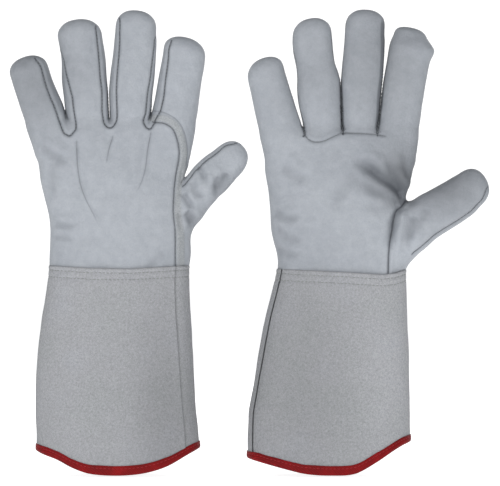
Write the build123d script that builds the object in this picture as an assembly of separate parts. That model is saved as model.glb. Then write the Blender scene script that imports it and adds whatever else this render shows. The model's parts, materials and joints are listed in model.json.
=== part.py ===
"""A pair of leather welding gauntlets, fingers up, as they sit on two raised hands.

Millimetres. +Z runs from the cuff's hem to the fingertips and +X towards the thumbs. The left glove shows its
back to -Y and the right glove shows its palm to -Y. The origin is the middle of the left cuff's mouth, level
with the hem's lowest point.
"""

from build123d import *
import os
from math import cos, pi, radians, sin

# Leather, tape and thread
HAND_LEATHER = 1.2  # soft grain leather of the hand
CUFF_LEATHER = 1.5  # split leather of the cuff
TAPE = 0.8  # binding tape on the hem
TAPE_WIDTH = 7.5
THREAD = 0.6
SEWN_GAP = 0.1  # between two sewn layers, so that they meet and don't cut into each other

# The cuff and the seam that joins it to the hand
CUFF_TOP = 160.0
LAP = 12.0  # how far the hand's leather runs down inside the cuff
STITCH_ROWS = (3.5, 8.5)  # below the cuff's top edge

# Fingers
KNUCKLE = 5.0  # a finger bends this far beyond the crotches
THUMB_KNUCKLE = 16.0
THUMB_CLEARANCE = 0.8  # between the moving thumb and the palm's edge
BEND_GAP = 0.4  # open line where a finger's panels meet the hand's
ROOT = 12.0  # how far a finger's tube runs down into the hand
THUMB_ROOT = 24.0
STRIP_HALF = 6.2  # half the width of a finger's side strip at its root
SEAM_SLIT = 0.3

# Sections of the cuff and the palm
FULLNESS = 2.35  # 2 is an ellipse
OVAL_POINTS = 20
SHOULDER = 4.0  # bevel round the palm's top end, where the fingers leave it

RIGHT_GLOVE_X = 161.0  # from the left cuff's middle to the right cuff's middle
FINGER_DEPTH = 0.74  # a finger's depth as a share of its width
THUMB_DEPTH = 0.80

# Hem: points of its cut line, X and height.
# Cross-sections, from the hem up: height, edge on the little finger's side, edge on the thumb's side, depth.
# Fingers: middle of the root, lean towards the thumb in degrees, half width at root and at tip, length.
GLOVES = {
    "left": {
        "x": 0.0,
        "palm_side": 1,
        "hem": [
            (-75, 22), (-58, 15.7), (-46, 11.6), (-34, 5.6), (-20, 1.2),
            (0, 0), (20, 1.6), (38, 6.8), (56, 16.4), (75, 25),
        ],
        "cuff": [
            (0, -61.5, 61.5, 70),
            (25, -62.0, 61.2, 68),
            (60, -62.0, 59.6, 63),
            (100, -60.0, 56.4, 56),
            (136, -55.4, 54.8, 49),
            (CUFF_TOP, -52.1, 54.6, 46),
        ],
        "hand": [
            (CUFF_TOP - LAP, -51.6, 52.6, 42.6),
            (CUFF_TOP, -50.0, 52.5, 42.0),
            (180, -49.8, 54.4, 41),
            (205, -52.5, 53.5, 40),
            (228, -58.0, 52.0, 37),
            (248, -62.0, 55.6, 32),
            (267, -68.0, 57.2, 25),
        ],
        "fingers": {
            "little": (-53.8, -18.0, 15.0, 14.4, 55.0),
            "ring": (-21.8, -5.8, 15.2, 16.6, 79.5),
            "middle": (8.7, 4.6, 14.6, 14.8, 86.0),
            "index": (40.8, 12.2, 16.6, 15.0, 67.5),
        },
        "thumb": (50.2, 206.7, 47.0, 16.4, 14.6, 62.5),
        "crotches": (-37.4, -6.1, 23.8),
    },
    "right": {
        "x": RIGHT_GLOVE_X,
        "palm_side": -1,
        "hem": [
            (-75, 14), (-58, 10.4), (-34, 4.4), (-18, 1.0), (0, 0),
            (18, 1.3), (34, 8.6), (50, 18.6), (60, 23), (75, 26),
        ],
        "cuff": [
            (0, -62.5, 61.0, 70),
            (27, -62.1, 60.8, 68),
            (60, -59.6, 60.8, 63),
            (100, -52.2, 59.4, 57),
            (136, -44.8, 57.9, 51),
            (CUFF_TOP, -39.2, 57.6, 49),
        ],
        "hand": [
            (CUFF_TOP - LAP, -39.8, 55.4, 45.4),
            (CUFF_TOP, -37.1, 55.5, 45.0),
            (178, -40.0, 57.0, 43.5),
            (198, -44.5, 57.5, 42),
            (218, -47.0, 58.5, 39),
            (240, -49.5, 64.0, 33),
            (261, -53.0, 66.4, 25),
        ],
        "fingers": {
            "little": (-36.4, -16.5, 16.2, 14.0, 58.5),
            "ring": (-4.8, -7.4, 14.2, 15.0, 86.0),
            "middle": (22.8, 3.5, 12.8, 14.6, 92.5),
            "index": (51.2, 10.4, 15.4, 15.0, 80.5),
        },
        "thumb": (60.6, 188.6, 57.0, 17.2, 15.0, 72.0),
        "crotches": (-19.2, 9.7, 35.8),
    },
}


def bulge(value):
    """A sine or cosine pushed outwards, so that an ellipse's corners fill out a little."""
    return (1 if value >= 0 else -1) * abs(value) ** (2 / FULLNESS)


def oval(height, low_x, high_x, depth, inset):
    """A closed section a little fuller than an ellipse, inset on all sides."""
    half_width = (high_x - low_x) / 2 - inset
    half_depth = depth / 2 - inset
    middle = (low_x + high_x) / 2
    around = [2 * pi * i / OVAL_POINTS for i in range(OVAL_POINTS)]
    points = [
        Vector(middle + half_width * bulge(cos(a)), half_depth * bulge(sin(a)), height) for a in around
    ]
    spacing = [i / OVAL_POINTS for i in range(OVAL_POINTS + 1)]
    return make_face(Edge.make_spline(points, periodic=True, parameters=spacing))


def body(sections, inset, bottom=0.0, top=0.0):
    """A closed solid through the sections, its first and last one moved down and up."""
    moved = [list(section) for section in sections]
    moved[0][0] -= bottom
    moved[-1][0] += top
    return loft([oval(*section, inset) for section in moved])


def tube(root_half, tip_half, length, root, depth_share, inset):
    """A finger's tube along Z with a round tip, its root below 0."""
    dome = length - tip_half
    wide_root = root_half - inset
    wide_tip = tip_half - inset
    side = Line((wide_root, -root), (wide_tip, dome))
    tip = CenterArc((0, dome), wide_tip, 0, 90)
    closing = Polyline((0, dome + wide_tip), (0, -root), (wide_root, -root))
    turned = revolve(Plane.XZ * make_face(side + tip + closing), Axis.Z)
    mean = (root_half + tip_half) / 2
    return scale(turned, by=(1, (mean * depth_share - inset) / (mean - inset), 1))


def slab(low_z, high_z, reach=400):
    """Everything between two heights."""
    return Pos(0, 0, (low_z + high_z) / 2) * Box(reach, reach, high_z - low_z)


def below_hem(glove, raise_by):
    """Everything below the hem's cut line, which dips in the middle of each panel and rises at the seams."""
    points = [(x, height + raise_by) for x, height in glove["hem"]]
    line = Spline(*points)
    closing = Polyline(points[-1], (points[-1][0], -40), (points[0][0], -40), points[0])
    return extrude(Plane.XZ * make_face(line + closing), 60, both=True)


def cuff_parts(glove):
    """Two panels of split leather, the tape folded round their hem and the thread that holds the hand in."""
    sections = glove["cuff"]
    away = -glove["palm_side"]
    shell = body(sections, 0, bottom=2) - body(sections, CUFF_LEATHER, bottom=5, top=5)
    shell -= below_hem(glove, TAPE + SEWN_GAP)
    thumb_seam_low = Vector(sections[0][2] - 9.5, away * 17, 20)
    thumb_seam_top = Vector(sections[-1][2] - 10.5, away * 13, CUFF_TOP)
    little_seam = Vector(sections[2][1] + 4, away * -10, 60)
    along = thumb_seam_top - thumb_seam_low
    cut = Plane(origin=thumb_seam_low, x_dir=along, z_dir=along.cross(little_seam - thumb_seam_low))
    halves = split(shell, bisect_by=cut, keep=Keep.BOTH).solids()
    halves.sort(key=lambda solid: away * solid.center().Y)
    inside = CUFF_LEATHER + SEWN_GAP
    tape = body(sections, -SEWN_GAP - TAPE, bottom=2) - body(sections, inside + TAPE, bottom=5, top=5)
    tape = (tape - below_hem(glove, 0)) & below_hem(glove, TAPE_WIDTH)
    fold = body(sections, -SEWN_GAP, bottom=5, top=5) - body(sections, inside, bottom=8, top=8)
    thread = body(sections, -THREAD - SEWN_GAP, top=2) - body(sections, -SEWN_GAP, bottom=2, top=5)
    rows = [thread & slab(CUFF_TOP - row - THREAD, CUFF_TOP - row) for row in STITCH_ROWS]
    return {
        "cuff_palm_panel": [halves[0]],
        "cuff_back_panel": [halves[1]],
        "hem_binding": (tape - (fold - below_hem(glove, TAPE))).solids(),
        "cuff_seam_thread": [solid for row in rows for solid in row.solids()],
    }


def digits(glove):
    """Each finger and the thumb: where it stands, its tube's sizes and where it bends."""
    top = glove["hand"][-1][0]
    found = {}
    for name, (x, lean, root_half, tip_half, length) in glove["fingers"].items():
        place = Pos(x, 0, top) * Rot(0, lean, 0)
        found[name] = (place, (root_half, tip_half, length, ROOT, FINGER_DEPTH), KNUCKLE)
    x, z, lean, root_half, tip_half, length = glove["thumb"]
    place = Pos(x, 0, z) * Rot(0, lean, 0)
    found["thumb"] = (place, (root_half, tip_half, length, THUMB_ROOT, THUMB_DEPTH), THUMB_KNUCKLE)
    return found


def back_seam(glove):
    """The back seam beside the index finger, from the thumb's panel up to the crotch, as X and height."""
    top, _, edge, _ = glove["hand"][-1]
    wrist_edge = glove["hand"][0][2]
    thumb_z = glove["thumb"][1]
    crotch = glove["crotches"][2]
    return [
        (wrist_edge - 6, thumb_z - 8),
        (wrist_edge - 7.5, thumb_z + 10),
        (wrist_edge - 7, top - 38),
        (edge - 10, top - 20),
        (edge - 18, top - 8),
        (crotch + 2.5, top - 2),
        (crotch + 1.5, top + 8),
    ]


def thumb_panel_zone(glove):
    """The region of leather that is the thumb's own panel, from the cuff up to the thumb's crotch."""
    x, z, lean, root_half, _, _ = glove["thumb"]
    crotch_z = z + (root_half + 1) * sin(radians(lean)) + 11 * cos(radians(lean))
    seam_x = glove["hand"][0][2] - 9.5
    low = CUFF_TOP - LAP - 5
    straight = Line((seam_x, low), (seam_x, CUFF_TOP + 12))
    curve = Spline((seam_x, CUFF_TOP + 12), (seam_x + 1, z - 8), (x + 6, crotch_z + 2))
    beyond = Polyline((x + 6, crotch_z + 2), (x + 60, crotch_z + 30), (x + 60, low), (seam_x, low))
    return extrude(Plane.XZ * make_face(straight + curve + beyond), 60, both=True)


def hand_parts(glove):
    """The one-piece trunk of the hand, the thumb's panel and the three crotch pieces."""
    sections = glove["hand"]
    palm = glove["palm_side"]
    top = sections[-1][0]
    outer = body(sections, 0)
    outer = chamfer(outer.faces().sort_by(Axis.Z)[-1].edges(), SHOULDER)
    inner = body([*sections[:-1], (top - HAND_LEATHER, *sections[-1][1:])], HAND_LEATHER, bottom=5)
    inner = chamfer(inner.faces().sort_by(Axis.Z)[-1].edges(), SHOULDER - 0.6 * HAND_LEATHER)
    fingers = digits(glove).values()
    outer += [place * (tube(*sizes, 0) & slab(-60, knuckle)) for place, sizes, knuckle in fingers]
    inner += [place * tube(*sizes, HAND_LEATHER) for place, sizes, _ in fingers]
    shell = outer - inner

    back_half = Pos(0, -palm * 60, 0) * Box(400, 120, 800)
    slit = extrude(Plane.XZ * trace(Spline(*back_seam(glove)), SEAM_SLIT), 60, both=True) & back_half
    wing = thumb_panel_zone(glove)
    crotch_zones = [Pos(x, 0, top + 1) * Box(11, 2 * STRIP_HALF, 12) for x in glove["crotches"]]
    parts = {"thumb_panel": (shell & wing).solids()}
    trunk = shell - wing - slit
    for number, zone in enumerate(crotch_zones, 1):
        parts[f"crotch_piece_{number}"] = (shell & zone).solids()
        trunk -= zone
    parts["hand_trunk"] = trunk.solids()
    return parts


def strip_zone(side, length, root_half):
    """The long pointed region that a finger's side strip fills, on its +X or -X side."""
    end = length - 5
    narrow = STRIP_HALF - 1
    edge = [(STRIP_HALF, -ROOT), (narrow, end * 0.75), (0, end), (-narrow, end * 0.75), (-STRIP_HALF, -ROOT)]
    outline = Polyline(*edge, close=True)
    reach = 2 * root_half
    return Pos(side * reach, 0, 0) * extrude(Plane.YZ * make_face(outline), reach - 1, both=True)


def finger_parts(glove):
    """Leather panels and side strips of each finger and the thumb."""
    palm = glove["palm_side"]
    strips = {"little": (1,), "ring": (-1, 1), "middle": (-1, 1), "index": (-1,), "thumb": ()}
    parts = {}
    for name, (place, sizes, knuckle) in digits(glove).items():
        root_half, _, length, root, _ = sizes
        longer_root = (*sizes[:3], root + 5, sizes[4])
        shell = tube(*sizes, 0) - tube(*longer_root, HAND_LEATHER)
        shell &= slab(knuckle + BEND_GAP, 200)
        if name == "thumb":
            shell = place * shell - body(glove["hand"], -THUMB_CLEARANCE)
            for panel, way in (("back", -palm), ("front", palm)):
                half = Pos(0, way * 60, 200) * Box(400, 120, 400)
                parts[f"thumb_{panel}"] = (shell & half).solids()
            continue
        for side in strips[name]:
            zone = strip_zone(side, length, root_half)
            label = "inner" if side > 0 else "outer"
            parts[f"{name}_strip_{label}"] = [place * solid for solid in (shell & zone).solids()]
            shell -= zone
        if len(strips[name]) == 1:
            parts[f"{name}_wrap"] = [place * solid for solid in shell.solids()]
        else:
            for panel, way in (("back", -palm), ("front", palm)):
                half = Pos(0, way * 60, 0) * Box(200, 120, 400)
                parts[f"{name}_{panel}"] = [place * solid for solid in (shell & half).solids()]
    return parts


def glove_parts(side):
    """Every piece of one glove, named for its side and moved to its place in the pair."""
    glove = GLOVES[side]
    own = {**cuff_parts(glove), **hand_parts(glove), **finger_parts(glove)}
    place = Pos(glove["x"], 0, 0)
    return {f"{side}_{name}": [place * solid for solid in solids] for name, solids in own.items()}


def bends(side):
    """Each finger's hinge: a point on its palm face at the knuckle, and an axis that curls it to the palm."""
    glove = GLOVES[side]
    palm = glove["palm_side"]
    found = {}
    for name, (place, (root_half, tip_half, _, _, share), knuckle) in digits(glove).items():
        face = (root_half + tip_half) / 2 * share + 0.3
        spot = Pos(glove["x"], 0, 0) * place * Pos(0, palm * face, knuckle + BEND_GAP / 2)
        lean = radians(place.orientation.Y)
        found[name] = (tuple(spot.position), (-palm * cos(lean), 0.0, palm * sin(lean)))
    return found


if __name__ == "__main__":
    os.makedirs("parts", exist_ok=True)
    for side in GLOVES:
        for name, solids in glove_parts(side).items():
            export_step(Compound(solids) if len(solids) > 1 else solids[0], f"parts/{name}.step")
            print(name, len(solids), [round(solid.volume) for solid in solids])
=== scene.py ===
"""Looks of a pair of leather welding gauntlets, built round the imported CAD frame.

The hands are distance fields in millimetres, meshed, creased and cut into one skin for each moving body. The
stitches of their seams are laid on those skins. Cuffs and hem tape are swept along the cuff's sections. Each
glove is made in its own frame, with X = 0 at the middle of its cuff's mouth, and placed at its mount.
"""

import json
import math
from collections import namedtuple

import bpy
import numpy as np
import openvdb
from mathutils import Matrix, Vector
from mathutils.bvhtree import BVHTree


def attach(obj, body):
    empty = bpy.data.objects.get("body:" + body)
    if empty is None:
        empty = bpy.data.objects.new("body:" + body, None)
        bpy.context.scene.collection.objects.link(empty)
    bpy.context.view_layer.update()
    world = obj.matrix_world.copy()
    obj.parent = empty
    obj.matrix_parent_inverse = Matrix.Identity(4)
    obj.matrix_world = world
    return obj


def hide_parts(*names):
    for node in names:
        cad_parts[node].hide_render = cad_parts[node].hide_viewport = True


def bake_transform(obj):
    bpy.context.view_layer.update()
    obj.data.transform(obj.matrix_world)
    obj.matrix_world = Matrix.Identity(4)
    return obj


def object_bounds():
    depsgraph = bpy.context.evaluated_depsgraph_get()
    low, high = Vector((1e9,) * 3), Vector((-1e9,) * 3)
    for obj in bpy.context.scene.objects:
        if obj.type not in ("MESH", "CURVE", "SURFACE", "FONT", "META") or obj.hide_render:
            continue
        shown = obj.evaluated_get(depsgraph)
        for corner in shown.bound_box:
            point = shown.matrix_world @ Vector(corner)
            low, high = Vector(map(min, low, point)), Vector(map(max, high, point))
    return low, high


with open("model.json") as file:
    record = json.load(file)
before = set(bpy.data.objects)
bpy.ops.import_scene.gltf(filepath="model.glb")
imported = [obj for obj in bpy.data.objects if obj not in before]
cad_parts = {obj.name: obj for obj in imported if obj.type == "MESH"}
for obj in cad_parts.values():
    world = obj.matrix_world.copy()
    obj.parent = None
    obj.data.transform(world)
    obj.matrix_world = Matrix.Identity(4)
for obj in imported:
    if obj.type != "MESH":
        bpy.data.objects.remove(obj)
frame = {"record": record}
cad_low, cad_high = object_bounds()

MM = 0.001
VOXEL = 0.9
WALL = 1.5  # thickness of the hand's skin
CUFF_WALL = 1.6
BACKGROUND = 4.0  # distance beyond which a field's value isn't kept
FAR = 1e3
TINY = 1e-9
FINGERS = ("little", "ring", "middle", "index")

# Millimetres in the glove's own frame.
# palm: which way the palm faces along Y. top: height of the fingers' roots.
# hand, cuff: height, edge on the little finger's side, edge on the thumb's side.
# hand_depth, cuff_depth: height, depth. hem, cuff_top: X, height. crotches, thumb_crotch: X and height.
# web: how softly the thumb's crotch is filled. shaded: width and darkness of the painted shade on a side strip
# on the palm.
# fingers: root X, lean in degrees, length to the tip, how far the tip leans over, then stations of distance
# along the finger and half widths on the little finger's side and on the thumb's side.
# thumb: root X and Z, then the same as for a finger.
GLOVES = {
    "left": {
        "palm": 1,
        "top": 267.0,
        "hand": [
            (144, -53.0, 52.8), (154, -52.6, 53.2), (160, -52.4, 54.6), (168, -52.2, 55.8), (176, -51.7, 55.4),
            (184, -51.2, 54.2), (196, -52.2, 52.2),
            (208, -55.2, 50.0), (216, -57.3, 49.0), (224, -59.2, 49.5), (232, -59.8, 51.4), (240, -61.2, 54.2),
            (248, -62.6, 55.9), (256, -65.9, 57.0), (264, -69.0, 57.7), (280, -73.0, 58.0),
        ],
        "hand_depth": [
            (144, 43.0), (160, 42.4), (180, 41.0), (205, 40.0), (228, 36.5), (248, 31.0), (267, 25.0),
        ],
        "cuff": [
            (-5, -61.6, 62.0), (24, -62.7, 61.8), (36, -62.6, 61.3), (48, -63.3, 60.3), (72, -62.9, 58.3),
            (96, -60.2, 56.0), (120, -57.0, 54.2), (144, -54.0, 53.4), (152, -53.3, 53.9), (165, -52.7, 54.6),
        ],
        "cuff_depth": [(-5, 70.0), (25, 68.0), (60, 63.0), (100, 56.0), (136, 49.0), (165, 46.0)],
        "hem": [
            (-75, 22), (-58, 15.7), (-46, 11.6), (-34, 5.6), (-20, 1.2),
            (0, 0), (20, 1.6), (38, 6.8), (56, 16.4), (75, 25),
        ],
        "cuff_top": [(-60, 159.8), (-20, 157.4), (10, 157.0), (40, 158.6), (60, 159.6)],
        "crotches": [(-37.4, 264.0), (-6.1, 269.0), (23.8, 269.0)],
        "thumb_crotch": (49.0, 226.5),
        "web": 2.6,
        "shaded": {},
        "fingers": {
            "little": (
                -53.8, -18.0, 53.6, -1.0,
                [
                    (-22, 15.4, 15.0), (0, 15.4, 15.6), (12, 15.6, 15.9), (20, 15.6, 14.7), (30, 15.5, 13.4),
                    (42, 15.3, 14.1),
                ],
            ),
            "ring": (
                -21.8, -5.8, 79.5, -0.7,
                [
                    (-22, 15.4, 15.0), (0, 15.9, 15.3), (12, 17.2, 15.9), (24, 17.0, 16.6), (36, 17.0, 16.4),
                    (46, 16.2, 17.2), (54, 15.4, 17.0), (66, 16.9, 16.1),
                ],
            ),
            "middle": (
                8.7, 4.6, 86.3, -0.4,
                [
                    (-22, 14.6, 14.8), (0, 14.9, 15.3), (12, 16.2, 15.8), (24, 17.5, 15.6), (36, 17.2, 16.0),
                    (48, 16.3, 15.6), (60, 16.0, 15.2), (73, 15.7, 14.6),
                ],
            ),
            "index": (
                40.8, 12.2, 66.3, -2.3,
                [
                    (-22, 16.4, 16.0), (0, 16.7, 17.6), (12, 16.3, 17.7), (24, 16.7, 16.4), (36, 16.9, 15.6),
                    (48, 17.0, 14.9), (54, 17.3, 14.2),
                ],
            ),
        },
        "thumb": (
            50.2, 206.7, 47.0, 62.1, -0.6,
            [
                (-30, 10.0, 13.0), (-12, 10.6, 17.0), (0, 11.2, 18.4), (10, 12.6, 15.6), (24, 15.4, 14.3),
                (36, 15.2, 14.0), (44, 13.6, 13.4),
            ],
        ),
    },
    "right": {
        "palm": -1,
        "top": 261.0,
        "hand": [
            (144, -41.0, 55.8), (160, -39.2, 56.6), (168, -39.9, 56.2), (176, -42.4, 55.4), (184, -44.5, 55.0),
            (192, -45.1, 55.2), (200, -45.2, 56.2), (208, -45.9, 57.4), (216, -46.8, 58.8), (224, -48.4, 60.6),
            (232, -49.6, 62.6), (240, -49.2, 64.4), (248, -50.0, 65.7), (258, -52.2, 66.3), (274, -55.0, 67.0),
        ],
        "hand_depth": [
            (144, 46.0), (160, 45.4), (178, 43.5), (198, 42.0), (218, 38.5), (240, 32.5), (261, 25.0),
        ],
        "cuff": [
            (-5, -62.8, 60.8), (24, -63.1, 60.5), (48, -62.4, 60.9), (72, -58.2, 60.4), (96, -53.3, 59.3),
            (120, -48.4, 58.6), (144, -43.2, 57.8), (152, -41.0, 57.7), (165, -38.4, 57.8),
        ],
        "cuff_depth": [(-5, 70.0), (27, 68.0), (60, 63.0), (100, 57.0), (136, 51.0), (165, 49.0)],
        "hem": [
            (-75, 14), (-58, 10.4), (-34, 4.4), (-18, 1.0), (0, 0),
            (18, 1.3), (34, 9.6), (50, 19.8), (60, 24), (75, 27),
        ],
        "cuff_top": [(-50, 157.4), (-20, 155.8), (10, 154.4), (40, 152.4), (50, 153.6), (60, 157.0)],
        "crotches": [(-19.2, 260.0), (9.7, 261.5), (35.8, 261.5)],
        "thumb_crotch": (60.2, 211.0),
        "web": 6.6,
        "shaded": {"middle": (3.4, 0.62), "ring": (1.4, 0.4), "little": (1.2, 0.35)},
        "fingers": {
            "little": (
                -36.4, -16.5, 57.6, 2.2,
                [
                    (-22, 15.8, 15.6), (0, 16.3, 15.8), (12, 16.4, 15.1), (24, 15.3, 14.8), (36, 14.1, 14.7),
                    (45, 13.5, 14.9),
                ],
            ),
            "ring": (
                -4.8, -7.4, 86.2, 1.2,
                [
                    (-22, 14.4, 14.0), (0, 14.5, 14.3), (8, 14.7, 15.0), (24, 15.9, 16.6), (36, 15.5, 17.7),
                    (42, 14.4, 17.0), (50, 14.2, 14.6), (60, 14.7, 14.6), (68, 15.0, 15.1), (73, 14.0, 15.0),
                ],
            ),
            "middle": (
                22.8, 3.5, 93.1, 0.2,
                [
                    (-22, 13.4, 13.0), (0, 13.5, 13.3), (12, 14.6, 14.0), (24, 15.8, 14.4), (36, 16.9, 14.6),
                    (42, 16.4, 14.9), (54, 15.9, 14.8), (66, 15.5, 14.2), (80, 15.6, 14.1),
                ],
            ),
            "index": (
                51.2, 10.4, 79.8, -1.2,
                [
                    (-22, 15.0, 15.2), (0, 15.2, 15.5), (12, 15.7, 15.7), (24, 16.8, 14.9), (36, 17.3, 15.0),
                    (48, 17.2, 14.7), (57, 17.0, 14.6), (62, 17.2, 16.4), (66, 17.2, 18.6), (69, 16.8, 14.0),
                    (74, 15.0, 8.0),
                ],
            ),
        },
        "thumb": (
            60.6, 188.6, 57.0, 68.5, -1.4,
            [
                (-30, 15.0, 15.6), (-12, 16.4, 21.4), (0, 16.6, 20.6), (12, 15.4, 18.4), (24, 15.1, 18.3),
                (36, 14.5, 18.8), (46, 14.1, 18.4), (54, 13.4, 15.8),
            ],
        ),
    },
}
# lowest and highest height of a part, and how far its edges' corners are rounded
SPANS = {"hand": (144, 300, 4.0), "cuff": (0, 165, 5.0)}
DEPTH_ROUNDING = 5.0
FINGER_DEPTH = 0.74
THUMB_DEPTH = 0.80
TIP_THINNING = 0.16  # how much less deep a finger is at its tip
FINGER_BLEND = 5.0  # how softly a finger runs into the palm
FINGER_POWER = 2.25  # how square the sections are: 2 is an ellipse
CAP_POWER = 2.3
TURN_POWER = 0.89  # about 2 / FINGER_POWER
HAND_ACROSS_POWER = 2.35
HAND_THROUGH_POWER = 2.2
HAND_POWER = 2.3
CUFF_POWER = 2.35


# ---------------------------------------------------------------- numbers


def bell(distance, width):
    """1 at no distance, falling to nothing past the width."""
    return np.exp(-((distance / width) ** 2))


def unit(vectors):
    return vectors / (np.linalg.norm(vectors, axis=-1, keepdims=True) + TINY)


def rounded(values, half, reach):
    """Evenly spaced values with their corners rounded off."""
    kernel = bell(np.arange(-half, half + 1), reach)
    return np.convolve(np.pad(values, half, mode="edge"), kernel / kernel.sum(), mode="valid")


def section(glove, part, heights):
    """The hand's or the cuff's two edges and its depth at heights."""
    low, high, rounding = SPANS[part]
    steps = np.arange(low - 20, high + 21, 1.0)
    found = []
    columns = ((part, 1, rounding), (part, 2, rounding), (f"{part}_depth", 1, DEPTH_ROUNDING))
    for table, column, reach in columns:
        rows = np.array(glove[table], float)
        values = np.interp(steps, rows[:, 0], rows[:, column])
        found.append(np.interp(heights, steps, rounded(values, 15, reach)))
    return found


def noise(points, size, seed):
    """Smooth value noise from -1 to 1 at 3-D points, with features of that size."""
    lattice = np.random.default_rng(seed).uniform(-1, 1, 8192)
    scaled = points / np.asarray(size, float)
    cell = np.floor(scaled).astype(np.int64)
    part = scaled - cell
    part = part * part * (3 - 2 * part)
    total = np.zeros(len(points))
    for corner in range(8):
        step = np.array([corner & 1, (corner >> 1) & 1, (corner >> 2) & 1])
        key = (cell + step) * np.array([73856093, 19349663, 83492791])
        weight = np.where(step, part, 1 - part).prod(axis=1)
        total += weight * lattice[(key[:, 0] ^ key[:, 1] ^ key[:, 2]) & 8191]
    return total


def layered_noise(points, layers):
    """A sum of noises, each given as its strength, size and seed."""
    return sum(strength * noise(points, size, seed) for strength, size, seed in layers)


def smooth_min(a, b, blend):
    """The smaller of two distances, rounded where they meet."""
    share = np.clip(0.5 + 0.5 * (b - a) / blend, 0, 1)
    return b + (a - b) * share - blend * share * (1 - share)


def smooth_max(a, b, blend):
    return -smooth_min(-a, -b, blend)


def run_of(line):
    """Distance along a line to each of its points."""
    return np.concatenate([[0], np.cumsum(np.linalg.norm(np.diff(line, axis=0), axis=1))])


def at_run(at, run, rows):
    """Rows given at distances along a line, read at other distances."""
    return np.column_stack([np.interp(at, run, column) for column in rows.T])


def curve(points, step=0.8):
    """A smooth line through points, evenly sampled."""
    given = np.array(points, float)
    ends = np.vstack([2 * given[0] - given[1], given, 2 * given[-1] - given[-2]])
    fine = []
    for i in range(1, len(ends) - 2):
        p0, p1, p2, p3 = ends[i - 1 : i + 3]
        square, cube = 2 * p0 - 5 * p1 + 4 * p2 - p3, 3 * p1 - p0 - 3 * p2 + p3
        for t in np.linspace(0, 1, 24, endpoint=False):
            fine.append(0.5 * (2 * p1 + (p2 - p0) * t + square * t**2 + cube * t**3))
    fine.append(ends[-2])
    run = run_of(np.array(fine))
    at = np.linspace(0, run[-1], max(2, int(run[-1] / step) + 1))
    return at_run(at, run, np.array(fine))


def nearest(points, line, reach):
    """Distance from each point to a sampled line and the sample nearest to it, for points within reach."""
    low, high = line.min(0) - reach, line.max(0) + reach
    close = np.flatnonzero(((points >= low) & (points <= high)).all(axis=1))
    distance = np.full(len(points), FAR)
    index = np.zeros(len(points), int)
    at_once = 20000
    for start in range(0, len(close), at_once):
        chunk = close[start : start + at_once]
        gaps = np.linalg.norm(points[chunk, None, :] - line[None, :, :], axis=2)
        best = gaps.argmin(axis=1)
        distance[chunk] = gaps[np.arange(len(chunk)), best]
        index[chunk] = best
    return distance, index


def beside(points, normals, line, line_normals, reach, facing=0.0):
    """Distance to a line on the skin, its nearest sample, and how far to one side of it each point is."""
    distance, index = nearest(points, line, reach)
    distance = np.where((normals * line_normals[index]).sum(axis=1) > facing, distance, FAR)
    sideways = unit(np.cross(np.gradient(line, axis=0), line_normals))
    return distance, index, ((points - line[index]) * sideways[index]).sum(axis=1)


# ---------------------------------------------------------------- the hand's distance field


Digit = namedtuple("Digit", "x z lean tip apex stations depth")  # a finger or the thumb


def digits_of(glove):
    found = {}
    for name, (x, lean, tip, apex, stations) in glove["fingers"].items():
        found[name] = Digit(x, glove["top"], math.radians(lean), tip, apex, stations, FINGER_DEPTH)
    x, z, lean, tip, apex, stations = glove["thumb"]
    found["thumb"] = Digit(x, z, math.radians(lean), tip, apex, stations, THUMB_DEPTH)
    return found


def along_digit(digit, x, z):
    """How far along a finger's axis a point is, and how far across it, towards the thumb."""
    dx, dz = x - digit.x, z - digit.z
    sin, cos = math.sin(digit.lean), math.cos(digit.lean)
    return dx * sin + dz * cos, dx * cos - dz * sin


def from_digit(digit, s, v):
    """X and height of a point that far along a finger's axis and that far across it."""
    sin, cos = math.sin(digit.lean), math.cos(digit.lean)
    return digit.x + s * sin + v * cos, digit.z + s * cos - v * sin


def digit_edges(digit, s):
    """A finger's two half widths at distances along it."""
    _, low, high = digit.stations[-1]
    rows = np.array([*digit.stations, (digit.tip, low - digit.apex, high + digit.apex)], float)
    at = np.arange(-40, 120, 1.0)
    return [np.interp(s, at, rounded(np.interp(at, rows[:, 0], rows[:, side]), 9, 4.0)) for side in (1, 2)]


def digit_section(digit, s):
    """A finger's half width, the middle of its width and its half depth at distances along it."""
    low, high = digit_edges(digit, s)
    half, middle = (low + high) / 2, (high - low) / 2
    return half, middle, half * digit.depth * (1 - TIP_THINNING * np.clip(s / digit.tip, 0, 1) ** 2)


def to_distance(value):
    """A first-order distance from an implicit value on the grid."""
    slope = np.gradient(value, VOXEL)
    return value / np.sqrt(sum(g * g for g in slope) + TINY)


def digit_field(digit, xs, ys, zs):
    """Distance from a finger's surface on the grid."""
    x, z = np.meshgrid(xs, zs, indexing="ij")
    s, v = along_digit(digit, x, z)
    half, middle, deep = digit_section(digit, s)
    across = np.abs((v - middle) / half)[:, None, :] ** FINGER_POWER
    through = np.abs(ys[None, :, None] / deep[:, None, :]) ** FINGER_POWER
    cap_start = digit.stations[-1][0]
    over = np.clip((s - cap_start) / (digit.tip - cap_start), 0, None)[:, None, :] ** CAP_POWER
    distance = to_distance((across + through + over + TINY) ** (1 / FINGER_POWER) - 1)
    root = (digit.stations[0][0] - s)[:, None, :]
    return smooth_max(distance, np.broadcast_to(root, distance.shape), 4.0)


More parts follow.
